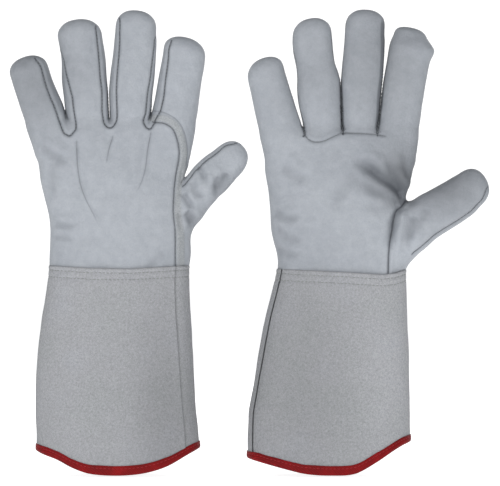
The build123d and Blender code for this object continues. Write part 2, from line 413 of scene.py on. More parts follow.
def hand_fields(glove, digits):
    """Grid axes, the palm's field, each finger's own field, and the field of the whole hand."""
    low_x, high_x = (-92, 112) if glove["palm"] > 0 else (-78, 138)
    xs = np.arange(low_x, high_x, VOXEL)
    ys = np.arange(-30, 30 + VOXEL, VOXEL)
    zs = np.arange(SPANS["hand"][0], glove["top"] + 100, VOXEL)
    low, high, deep = section(glove, "hand", zs)
    across = np.abs((xs[:, None] - (low + high) / 2) / ((high - low) / 2)) ** HAND_ACROSS_POWER
    through = np.abs(ys[:, None] / (deep / 2)) ** HAND_THROUGH_POWER
    palm = to_distance((across[:, None, :] + through[None, :, :] + TINY) ** (1 / HAND_POWER) - 1)
    roof = np.broadcast_to(zs - (glove["top"] + 0.5), palm.shape)
    palm = smooth_max(palm, roof, 9.0)

    plain = {name: digit_field(digit, xs, ys, zs) for name, digit in digits.items()}
    fields = dict(plain)
    parting = (0.3 * np.clip(np.abs(ys) / 6 - 0.6, -0.15, 1))[None, :, None]  # keeps neighbours apart
    for first, second in zip(FINGERS, FINGERS[1:]):
        between = (plain[first] - plain[second]) / 2
        fields[first] = np.maximum(fields[first], between + parting)
        fields[second] = np.maximum(fields[second], parting - between)
    whole = smooth_min(palm, np.minimum.reduce([fields[name] for name in FINGERS]), FINGER_BLEND)
    whole = smooth_min(whole, fields["thumb"], thumb_blend(glove, digits, xs, zs))
    return (xs, ys, zs), palm, fields, whole


def thumb_blend(glove, digits, xs, zs):
    """How softly the thumb runs into the hand: tight in the crotch, wide at the wing."""
    x, z = np.meshgrid(xs, zs, indexing="ij")
    _, across = along_digit(digits["thumb"], x, z)
    return (glove["web"] + 7.5 * np.clip((across + 8) / 18, 0, 1))[:, None, :]


def sampled(field, axes, points):
    """A grid's values at points, between its nodes."""
    index = [np.clip((points[:, i] - axis[0]) / VOXEL, 0, len(axis) - 1.001) for i, axis in enumerate(axes)]
    cell = [i.astype(int) for i in index]
    part = [i - c for i, c in zip(index, cell)]
    total = np.zeros(len(points))
    for corner in range(8):
        step = [corner & 1, (corner >> 1) & 1, (corner >> 2) & 1]
        weight = np.ones(len(points))
        for axis in range(3):
            weight = weight * (part[axis] if step[axis] else 1 - part[axis])
        total += weight * field[cell[0] + step[0], cell[1] + step[1], cell[2] + step[2]]
    return total


def outward(axes, field, points):
    """Unit gradient of a field at points."""
    return unit(np.column_stack([sampled(slope, axes, points) for slope in np.gradient(field, VOXEL)]))


def meshed(field, axes):
    """Points and quads of a field's zero surface."""
    grid = openvdb.FloatGrid(BACKGROUND)
    grid.copyFromArray(np.clip(field, -BACKGROUND, BACKGROUND).astype(np.float32))
    points, quads = grid.convertToQuads(isovalue=0.0)
    origin = np.array([axis[0] for axis in axes])
    return points.astype(float) * VOXEL + origin, quads.astype(int)


# ---------------------------------------------------------------- seams, ridges and folds


STRIP_INSETS = {  # a side strip's seam on the back: distance in from the edge, against the share of length
    ("little", 1): [(0.0, 5.8), (0.3, 6.2), (0.6, 5.0), (0.8, 4.9), (1.0, 4.0)],
    ("ring", -1): [(0.0, 6.7), (0.25, 6.7), (0.42, 4.6), (0.6, 1.6), (0.7, 0.3)],
    ("ring", 1): [(0.0, 4.8), (0.3, 4.4), (0.6, 4.2), (0.8, 3.5), (0.95, 2.2)],
    ("middle", -1): [(0.0, 6.0), (0.3, 5.8), (0.5, 4.9), (0.7, 4.0), (0.85, 3.0), (0.95, 1.4)],
    ("middle", 1): [(0.0, 4.4), (0.2, 3.4), (0.4, 2.6), (0.6, 1.8), (0.75, 0.8)],
    ("index", -1): [(0.0, 6.6), (0.3, 6.2), (0.6, 5.0), (0.8, 4.0), (0.95, 3.2)],
}
GAP_FEET = [  # the strip seam's foot round each gap, from the gap's foot: X and height
    [(-4.0, -2.6), (-1.6, -5.4), (1.3, -6.5), (4.2, -3.9), (6.1, 0.0)],
    [(-4.4, 0.4), (-3.6, -2.2), (-1.3, -4.7), (1.3, -5.0), (3.5, -3.1), (5.2, 1.0)],
    [(-4.1, 1.0), (-3.8, -2.0), (-1.8, -5.4), (1.0, -6.3), (3.4, -3.6), (5.4, 0.6)],
]
INSIDE_TURN = 7.0  # degrees from a finger's side to the strip's seam on the palm's side


def shifted(x, z, offsets):
    return [(x + dx, z + dz) for dx, dz in offsets]


def edge_line(digit, side, s, inset, cap_length):
    """A line along a finger, a little in from one of its edges, as X and height."""
    cap = np.clip((s - (digit.tip - cap_length)) / cap_length, 0, 1)
    half = digit_edges(digit, s)[0 if side < 0 else 1] * np.sqrt(np.clip(1 - cap**CAP_POWER, 0.1, 1))
    return np.column_stack(from_digit(digit, s, side * (half - inset)))


def gap_seam(glove, digits, number):
    """The seam on the back round one gap: down one finger, round the gap's foot and up the next."""
    lines = []
    for name, side in ((FINGERS[number], 1), (FINGERS[number + 1], -1)):
        shares, insets = np.array(STRIP_INSETS[name, side]).T
        s = np.linspace(8, min(0.89, shares[-1]) * digits[name].tip, 12)
        lines.append(edge_line(digits[name], side, s, np.interp(s / digits[name].tip, shares, insets), 13))
    foot = shifted(*glove["crotches"][number], GAP_FEET[number])
    return curve(np.vstack([lines[0][::-1], foot, lines[1]]))


def gap_seam_inside(glove, digits, number):
    """The strips' other seam, just round the fingers' edges on the palm's side, as points in space."""
    turned = math.radians(INSIDE_TURN)
    lines = []
    for name, side in ((FINGERS[number], 1), (FINGERS[number + 1], -1)):
        s = np.linspace(4, digits[name].tip - 8, 14)
        half, middle, deep = digit_section(digits[name], s)
        x, z = from_digit(digits[name], s, middle + side * half * math.cos(turned) ** TURN_POWER)
        lines.append(np.column_stack([x, glove["palm"] * deep * math.sin(turned) ** TURN_POWER, z]))
    x, z = glove["crotches"][number]
    return curve(np.vstack([lines[0][::-1], [(x, glove["palm"] * 9, z - 3.0)], lines[1]]))


def seams(glove, digits):
    """Sewn lines: name, side seen, line, groove depth, darkness, whether the thread shows."""
    top, (tx, tz), wrist = glove["top"], glove["thumb_crotch"], glove["hand"][1][2]
    (c1, _), (c2, _), (c3, _) = glove["crotches"]
    gaps = range(3)
    found = [(f"gap_{n + 1}", "back", gap_seam(glove, digits, n), 0.7, 0.85, True) for n in gaps]
    found += [(f"inside_{n + 1}", "both", gap_seam_inside(glove, digits, n), 0.5, 0.9, True) for n in gaps]
    back = shifted(c3, top, [(5, 0.4), (12.2, -0.5), (18.7, -5.5), (22.6, -17), (23, -26.4)])
    back += shifted(wrist, tz, [(-9, -1), (-10.8, -17), (-10.8, -30)])
    back += [(wrist - 9.4, (tz - 30) / 2 + 84), (wrist - 9, 150)]
    outer = shifted(c3, top, [(4, 9.5), (13, 7.5), (22, 1.5), (27.6, -9), (29.4, -23)])
    outer += [(wrist - 2.6, tz + 1)]
    roots = shifted(c1, top, [(0.5, -3.6), (3, -6.4), (8, -8.2), (15, -7.2)])
    roots += shifted(c2, top, [(-6, -3.4), (0.5, -1)]) + [((c2 + c3) / 2 - 3, top - 1.6)]
    roots += shifted(c3, top, [(-1, -2.6), (4, -3.4)])
    wing = shifted(tx, tz, [(0, 0), (-6, -7), (-10.5, -12), (-13.6, -26)])
    wing += [(wrist - 12, 172), (wrist - 12.6, 154)]
    found += [
        ("back", "back", curve(back), 0.6, 0.6, True),
        ("back_edge", "back", curve(outer), 0.25, 0.25, False),
        ("palm_roots", "palm", curve(roots), 0.5, 0.34, True),
        ("wing", "palm", curve(wing), 1.0, 0.75, False),
    ]
    thumb = digits["thumb"]
    for name, seen, side, start in (("thumb_back", "back", -1, 10), ("thumb_palm", "palm", 1, -8)):
        line = edge_line(thumb, side, np.linspace(start, thumb.tip - 4, 12), 2.9, 15)
        found.append((name, seen, curve(line), 0.6, 0.7, True))
    return found


TUCKS = [  # the three raised tucks on the back, each from its gap's X and the fingers' roots
    [(6.6, -16), (7.2, -30), (9.2, -45), (13.2, -56.5), (18.4, -67), (23.6, -77.4)],
    [(2.1, -12), (-0.5, -21), (-2.2, -31)],
    [(1.1, -9.5), (-1, -21), (-2.3, -33), (-4.9, -43), (-9.4, -53)],
]
PALM_FOLDS = [  # from the thumb's crotch: points, depth (negative is a hump), half width
    ([(2, -4), (-9, 6), (-20, 14), (-33, 24), (-44, 29)], 4.6, 4.6),
    ([(-1, -1), (-11, 15), (-18, 30)], 2.6, 4.0),
    ([(-2, -6), (-14, -1), (-27, 6), (-42, 16)], 2.6, 4.2),
    ([(-8, -5), (-22, -8), (-36, -4)], 1.1, 4.0),
    ([(-1, 6), (-3, 22), (-3, 38)], 1.0, 4.0),
    ([(-6, -7), (-11, -14), (-13.5, -26), (-15, -40)], 2.2, 3.0),
    ([(-3, -9), (-6.5, -18), (-9, -32), (-9.5, -46)], -1.6, 3.0),
    ([(3.5, -14), (1.5, -24), (-1, -38)], 2.4, 3.2),
    ([(14, -8), (8, -18), (6, -28)], 1.2, 3.4),
]
THUMB_FOLDS = [  # on the thumb's back, as distances along and across the thumb
    ([(40, 7), (31, 9), (20, 13)], 2.6, 3.6),
    ([(33, 3), (28, 6), (24, 11)], 1.6, 2.6),
    ([(27, -13), (25, -5), (22, 1)], 1.5, 2.2),
    ([(16, -8), (13, 0), (15, 9)], 1.2, 2.4),
    ([(5, -6), (3, 1), (2, 10)], 1.9, 2.2),
    ([(-3, 6), (-4, 12), (-6, 19)], 2.6, 3.2),
    ([(-8, 2), (-12, 8), (-16, 14)], 1.2, 2.4),
]


def folds(glove, digits):
    """Soft folds: side seen, line, depth (negative is a hump), half width."""
    top, crotch, low_x, c1 = glove["top"], glove["thumb_crotch"], glove["hand"][5][1], glove["crotches"][0][0]
    found = [("palm", shifted(*crotch, offsets), depth, width) for offsets, depth, width in PALM_FOLDS]
    for offsets, depth, width in THUMB_FOLDS:
        found.append(("back", [from_digit(digits["thumb"], s, v) for s, v in offsets], depth, width))
    return found + [
        ("back", shifted(low_x, top, [(-8, -18), (4, -25), (14, -30)]), 1.5, 3.4),
        ("back", shifted(c1, top, [(-12, -28), (-13, -44), (-10, -60)]), 1.0, 4.0),
        ("back", shifted(low_x, 0, [(3, 192), (14, 190), (22, 193)]), 0.9, 2.4),
        ("back", shifted(low_x, 0, [(3, 182), (12, 181), (20, 178)]), 0.8, 2.2),
        ("back", [(36, 170), (28, 162), (20, 156)], 0.8, 2.6),
        ("palm", shifted(low_x, 0, [(2, 200), (12, 196), (24, 197)]), 1.3, 3.0),
        ("palm", shifted(low_x, 0, [(3, 188), (12, 181), (26, 178)]), 1.3, 3.0),
        ("palm", shifted(low_x, 0, [(4, 172), (14, 168), (24, 170)]), 1.0, 2.4),
        ("palm", shifted(low_x, top, [(8, -26), (20, -34), (32, -36)]), 1.0, 4.0),
        ("palm", shifted(0, top, [(20, -30), (8, -44), (2, -62)]), 0.8, 5.0),
    ]


def on_skin(tree, axes, field, line, side):
    """A line laid on the skin: points and normals. A flat line of X and height is seen from that side."""
    points = []
    for spot in line:
        if len(spot) == 3:
            hit, _, _, gap = tree.find_nearest(Vector(spot))
            hit = hit if gap < 4 else None
        else:
            hit, _, _, _ = tree.ray_cast(Vector((spot[0], side * 60, spot[1])), Vector((0, -side, 0)))
        if hit is not None:
            points.append(hit)
    points = np.array(points)
    return points, outward(axes, field, points)


# ---------------------------------------------------------------- meshes


def mesh_object(name, points, faces, side, material, normals=None, **values):
    """A smooth-shaded object from points in a glove's millimetres, with its point attributes."""
    placed = (np.asarray(points) + (OFFSET[side], 0, 0)) * MM
    mesh = bpy.data.meshes.new(name)
    mesh.from_pydata(placed.tolist(), [], [list(map(int, face)) for face in faces])
    mesh.shade_smooth()
    rest = mesh.attributes.new("rest", "FLOAT_VECTOR", "POINT")
    rest.data.foreach_set("vector", placed.astype(np.float32).ravel())
    for key, column in values.items():
        attribute = mesh.attributes.new(key, "FLOAT", "POINT")
        attribute.data.foreach_set("value", np.asarray(column, np.float32))
    if normals is not None:
        mesh.normals_split_custom_set_from_vertices(np.asarray(normals).tolist())
    mesh.materials.append(material)
    made = bpy.data.objects.new(name, mesh)
    bpy.context.scene.collection.objects.link(made)
    return made


def vertex_normals(points, quads):
    """Area-weighted normals of a quad mesh."""
    a, b, c, d = (points[quads[:, i]] for i in range(4))
    face = np.cross(c - a, d - b)
    total = np.zeros_like(points)
    for i in range(4):
        np.add.at(total, quads[:, i], face)
    return unit(total)


def flipped(faces, flip):
    return faces[:, ::-1] if flip else faces


def stitch_piece(name, side, places, length, radius, material):
    """One piece of small rounded stitches, from their places, tangents and normals on a surface."""
    rings, around = 5, 6
    template = []
    for ring in range(rings):
        angle = math.pi * ring / (rings - 1)
        size = max(0.25, math.sin(angle)) * radius
        for k in range(around):
            turn = 2 * math.pi * k / around
            template.append((-math.cos(angle) * length / 2, math.cos(turn) * size, math.sin(turn) * size))
    ends = [tuple(range(around))[::-1], tuple(range((rings - 1) * around, rings * around))]
    rows = [(r * around, k, (k + 1) % around) for r in range(rings - 1) for k in range(around)]
    faces = [(row + k, row + after, row + around + after, row + around + k) for row, k, after in rows] + ends
    template = np.array(template)
    points, all_faces = [], []
    for place, tangent, normal in zip(*places):
        across = unit(np.cross(normal, tangent))
        base = len(points) * len(template)
        points.append(place + template @ np.array([tangent, across, np.cross(tangent, across)]))
        all_faces += [tuple(base + i for i in face) for face in faces]
    piece = mesh_object(name, np.vstack(points), all_faces, side, material)
    return piece


def spaced(points, normals, pitch):
    """Places, tangents and normals at an even pitch along a line laid on a surface."""
    run = run_of(points)
    at = np.arange(pitch / 2, run[-1], pitch)
    tangents = at_run(at + 0.6, run, points) - at_run(at - 0.6, run, points)
    return at_run(at, run, points), unit(tangents), unit(at_run(at, run, normals))


def joined(rows):
    """Several results of spaced() as one."""
    return [np.vstack(found) for found in zip(*rows)]


# ---------------------------------------------------------------- materials


class Shading:
    """A material, with short ways to add the nodes used here. Inputs are sockets, numbers or colours."""

    def __init__(self, name):
        self.material = bpy.data.materials.new(name)
        self.material.use_nodes = True
        self.tree = self.material.node_tree
        self.shader = next(node for node in self.tree.nodes if node.type == "BSDF_PRINCIPLED")
        self.rest = self.attribute("rest", "Vector")

    def put(self, socket, value):
        if isinstance(value, bpy.types.NodeSocket):
            self.tree.links.new(value, socket)
        else:
            socket.default_value = (*value, 1) if isinstance(value, tuple) else value

    def add(self, kind, inputs, **settings):
        made = self.tree.nodes.new(f"ShaderNode{kind}")
        for key, value in settings.items():
            setattr(made, key, value)
        for key, value in inputs.items():
            self.put(made.inputs[key], value)
        return made

    def attribute(self, name, output="Fac"):
        return self.add("Attribute", {}, attribute_name=name).outputs[output]

    def noise(self, scale, detail=3.0, roughness=0.55):
        inputs = {"Vector": self.rest, "Scale": scale, "Detail": detail, "Roughness": roughness}
        return self.add("TexNoise", inputs).outputs["Fac"]

    def ramp(self, value, *stops):
        """Colours along a value; each stop is its position and its colour."""
        made = self.add("ValToRGB", {"Fac": value})
        elements = made.color_ramp.elements
        while len(elements) < len(stops):
            elements.new(0.5)
        for element, (position, colour) in zip(elements, stops):
            element.position = position
            element.color = (*colour, 1)
        return made.outputs["Color"]

    def mix(self, factor, a, b, blend="MIX"):
        """Mixes two colours. A colour mix node's factor and colours are its inputs 0, 6 and 7."""
        return self.add("Mix", {0: factor, 6: a, 7: b}, data_type="RGBA", blend_type=blend).outputs[2]

    def math(self, operation, *values):
        return self.add("Math", dict(enumerate(values)), operation=operation).outputs[0]

    def step(self, value, low, high, start, end):
        """A smooth step from start to end as the value goes from low to high."""
        inputs = {"Value": value, "From Min": low, "From Max": high, "To Min": start, "To Max": end}
        return self.add("MapRange", inputs, interpolation_type="SMOOTHSTEP").outputs["Result"]

    def bump(self, height, distance, strength, normal=None):
        inputs = {"Height": height, "Distance": distance, "Strength": strength}
        if normal is not None:
            inputs["Normal"] = normal
        return self.add("Bump", inputs).outputs["Normal"]

    def clouded(self, base):
        """Multiplies a colour by the point attribute of dye clouds mixed with painted light and shade."""
        return self.mix(1.0, base, self.attribute("tone", "Color"), "MULTIPLY")

    def sewn(self, base, key):
        """Draws the sewn lines of one group into a colour, with a band of painted shade beside them; also gives
        their depth for bumps.
        """
        across = self.math("ABSOLUTE", self.attribute(f"seam_{key}"))
        show = self.attribute(f"dark_{key}")
        core = self.math("MULTIPLY", self.step(across, 0.28, 0.62, 1.0, 0.0), show)
        # a soft band of painted shade beside each sewn line
        soft = self.math("MULTIPLY", self.step(across, 0.0, 2.4, 0.34, 0.0), show)
        return self.mix(core, self.mix(soft, base, SEAM_AND_SHADE_DARK), SEAM_AND_SHADE_DARK), core

    def finish(self, base, roughness, normal, specular=0.5):
        found = {"Base Color": base, "Roughness": roughness, "Normal": normal, "Specular IOR Level": specular}
        for key, value in found.items():
            self.put(self.shader.inputs[key], value)
        return self.material


# colour of the seams' dark lines and of the painted shade beside them
SEAM_AND_SHADE_DARK = (0.06, 0.066, 0.078)


def grain_leather():
    """Soft grain leather: faint pores, clouded colour with painted light and shade, dark seam lines with painted
    shade beside them, painted shade in folds and gaps, rough where its flesh side shows.
    """
    m = Shading("grain_leather")
    base = m.ramp(m.noise(28), (0.3, (0.272, 0.292, 0.324)), (0.7, (0.316, 0.337, 0.368)))
    blotch = m.ramp(m.noise(140, 4, 0.6), (0.35, (0.246, 0.264, 0.286)), (0.65, (0.350, 0.365, 0.394)))
    speck = m.ramp(m.noise(780, 5, 0.85), (0.3, (0.164, 0.179, 0.193)), (0.7, (0.417, 0.432, 0.461)))
    flesh = m.ramp(m.noise(1100, 4, 0.75), (0.32, (0.164, 0.175, 0.175)), (0.66, (0.350, 0.361, 0.365)))
    base = m.mix(0.16, m.mix(0.35, base, blotch), speck)
    base = m.mix(m.math("MULTIPLY", m.attribute("flesh"), 0.62), base, flesh)
    # painted shade from the shade attribute (folds, between fingers, side strips) over the tone's dye and
    # painted light
    base = m.mix(m.attribute("shade"), m.clouded(base), (0.07, 0.078, 0.09))
    groove = 0.0
    for key in ("a", "b", "c"):
        base, core = m.sewn(base, key)
        groove = m.math("MAXIMUM", groove, core)
    level = m.math("SUBTRACT", 1.0, groove)
    rough = m.add("MapRange", {"Value": m.noise(60), "To Min": 0.56, "To Max": 0.74}).outputs["Result"]
    pores = m.add("TexVoronoi", {"Scale": 1150, "Vector": m.rest}, feature="SMOOTH_F1").outputs["Distance"]
    fine = m.bump(level, 0.0006, 0.8, m.bump(pores, 0.00012, 0.35))
    return m.finish(base, rough, m.bump(m.noise(210, 6, 0.62), 0.0012, 0.55, fine), 0.3)


def split_leather():
    """Split leather: a short rough nap, speckled dark and light, clouded blue-grey and grey-green, with painted
    light and shade in its tone, dark seam edges and a painted shadow under its top edge.
    """
    m = Shading("split_leather")
    clouds = ((0.35, (0.257, 0.271, 0.277)), (0.52, (0.289, 0.294, 0.312)), (0.7, (0.300, 0.312, 0.342)))
    mottle = ((0.34, (0.146, 0.150, 0.158)), (0.5, (0.293, 0.298, 0.312)), (0.66, (0.424, 0.431, 0.450)))
    speck = ((0.33, (0.123, 0.127, 0.131)), (0.67, (0.462, 0.469, 0.484)))
    base = m.mix(0.5, m.ramp(m.noise(22, 4, 0.6), *clouds), m.ramp(m.noise(620, 5, 0.78), *mottle))
    base = m.mix(0.3, base, m.ramp(m.noise(1600, 3, 0.8), *speck))
    # the seam attribute holds the dark seam edges and the painted shadow under the top edge
    base = m.mix(m.attribute("seam"), m.clouded(base), (0.09, 0.095, 0.10))
    nap = m.bump(m.noise(1300, 4, 0.8), 0.0004, 0.7)
    return m.finish(base, 0.93, m.bump(m.noise(330, 5, 0.7), 0.0009, 0.55, nap), 0.15)


def red_binding():
    """Woven tape: diagonal ribs, a slight sheen, worn lighter here and there."""
    m = Shading("red_binding")
    clouds = ((0.3, (0.100, 0.001, 0.002)), (0.55, (0.165, 0.002, 0.003)), (0.75, (0.26, 0.004, 0.006)))
    weave = {"Vector": m.rest, "Scale": 330, "Distortion": 1.4, "Detail": 2}
    ribs = m.add("TexWave", weave, bands_direction="DIAGONAL").outputs["Fac"]
    ribbed = m.ramp(ribs, (0.2, (0.07, 0.001, 0.002)), (0.8, (0.27, 0.005, 0.007)))
    base = m.mix(0.35, m.ramp(m.noise(90, 4), *clouds), ribbed)
    return m.finish(base, 0.62, m.bump(m.noise(260), 0.0005, 0.5, m.bump(ribs, 0.0002, 0.5)), 0.14)


def thread_material(name, dark, light):
    """Twisted sewing thread."""
    m = Shading(name)
    twist = m.noise(2600, 2)
    return m.finish(m.ramp(twist, (0.3, dark), (0.7, light)), 0.8, m.bump(twist, 0.0001, 0.5))


LEATHER = grain_leather()
SPLIT = split_leather()
TAPE = red_binding()
THREAD = thread_material("thread", (0.10, 0.11, 0.12), (0.26, 0.28, 0.29))
PALE_THREAD = thread_material("pale_thread", (0.13, 0.138, 0.135), (0.27, 0.285, 0.275))
RED_THREAD = thread_material("red_thread", (0.16, 0.004, 0.008), (0.36, 0.01, 0.015))

DYE_AND_LIGHT_CLOUDS = {  # clouds of the dye mixed with painted light and shade, such as the painted shadow of the palm's deep fold by the thumb and each cuff painted darker on its inner side: X, height, reach in X, reach in height, how much lighter or darker
    "left": [
        (-66, 300, 34, 46, -0.30), (-15, 320, 35, 40, -0.08), (32, 55, 22, 75, -0.18), (60, 20, 20, 40, -0.10),
        (84, 215, 11, 12, -0.20), (58, 193, 8, 9, -0.14),
    ],
    "right": [
        (40, 315, 38, 50, -0.27), (-15, 320, 22, 50, -0.10), (-40, 300, 20, 40, -0.07), (88, 225, 34, 30, -0.40),
        (45, 250, 22, 20, -0.08), (51, 224, 12, 18, -0.36), (38, 226, 22, 16, -0.10), (60, 170, 14, 22, 0.08),
        (-20, 70, 36, 90, -0.16), (-60, 20, 20, 40, -0.05), (50, 70, 26, 90, 0.12),
    ],
}


def dye_and_light_tone_at(side, points):
    """How light the dye came out at points, with painted light and shade mixed in."""
    tone = np.ones(len(points))
    for x, z, reach_x, reach_z, strength in DYE_AND_LIGHT_CLOUDS[side]:
        tone += strength * bell(points[:, 0] - x, reach_x) * bell(points[:, 2] - z, reach_z)
    return tone


# ---------------------------------------------------------------- the hand


HAND_FOOT = 149.0  # height at which the hand's skin ends inside the cuff
SKIN_FROM = {"finger": 4.5, "thumb": 8.0}  # where a finger's own skin starts, from its root
SKIN_LAP = 3.0  # how far the hand's skin runs on under it
LAP_DROP = 0.45  # how far the hand's skin sinks there
SKIN_REACH = 5.0  # how far from a finger's own surface its skin goes
THUMB_WEB_REACH = 2.0  # the same in the thumb's crotch
HAND_WEB_REACH = 0.8  # how near the thumb's surface the hand's skin goes there
WEB_SIDE = -8  # the thumb's crotch is further across the thumb than this
NODES = {
    "hand": ["hand_trunk", "thumb_panel", "crotch_piece_1", "crotch_piece_2", "crotch_piece_3"],
    "little": ["little_wrap", "little_strip_inner"],
    "ring": ["ring_back", "ring_front", "ring_strip_outer", "ring_strip_inner"],
    "middle": ["middle_back", "middle_front", "middle_strip_outer", "middle_strip_inner"],
    "index": ["index_wrap", "index_strip_outer"],
    "thumb": ["thumb_back", "thumb_front"],
}


def kind_of(name):
    return "thumb" if name == "thumb" else "finger"


def reach_of(name, across, web_reach):
    """How far from a finger's own surface its skin goes, for points that far across the finger."""
    return np.where((name == "thumb") & (across < WEB_SIDE), web_reach, SKIN_REACH)


class Hand:
    """One hand's distance fields, and which part of the skin belongs to which finger."""

    def __init__(self, side):
        self.side, self.glove = side, GLOVES[side]
        self.digits = digits_of(self.glove)
        self.axes, self.palm, self.fields, self.whole = hand_fields(self.glove, self.digits)

    def part(self, name):
        """Grid axes and field of the whole hand, or of one finger on the palm alone."""
        if name == "hand":
            return self.axes, self.whole
        close = self.fields[name] < 7
        box = []
        for axis in range(3):
            used = np.flatnonzero(close.any(axis=tuple(other for other in range(3) if other != axis)))
            box.append(slice(max(0, used[0] - 1), used[-1] + 2))
        box = tuple(box)
        axes = tuple(axis[within] for axis, within in zip(self.axes, box))
        blend = FINGER_BLEND if name != "thumb" else thumb_blend(self.glove, self.digits, axes[0], axes[2])
        return axes, smooth_min(self.palm[box], self.fields[name][box], blend)

    def owner_of(self, points):
        """The finger nearest to each point, and how far the point is past the start of that finger's skin."""
        rows = []
        for name, digit in self.digits.items():
            s, v = along_digit(digit, points[:, 0], points[:, 2])
            distance = sampled(self.fields[name], self.axes, points)
            rows.append((distance, s - SKIN_FROM[kind_of(name)], reach_of(name, v, HAND_WEB_REACH)))
        rows = np.array(rows)
        closest = rows[:, 0].argmin(axis=0)
        distance, past, reach = rows[closest, :, np.arange(len(points))].T
        return np.array(list(self.digits), object)[closest], np.where(distance < reach, past, -99.0)

    def keeps(self, name, points):
        """Which points belong to the hand's skin, or to one finger's own skin."""
        if name == "hand":
            return self.owner_of(points)[1] < SKIN_LAP
        s, v = along_digit(self.digits[name], points[:, 0], points[:, 2])
        near = sampled(self.fields[name], self.axes, points) < reach_of(name, v, THUMB_WEB_REACH)
        return (s > SKIN_FROM[kind_of(name)]) & near

    def next_surface(self, points):
        """Distance to the second nearest finger."""
        return np.sort([sampled(field, self.axes, points) for field in self.fields.values()], axis=0)[1]

    def attach(self, piece, name):
        """Lets the hand's piece ride on the glove; a finger's piece only has its transform baked into its
        points.
        """
        glove_body = f"{self.side}_glove"
        if name == "hand":
            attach(piece, glove_body)
            return
        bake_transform(piece)


LINE_REACH = 3.0  # how far across a line its values go


def line_fade(distance):
    return np.clip(LINE_REACH + 0.2 - distance, 0, 1)


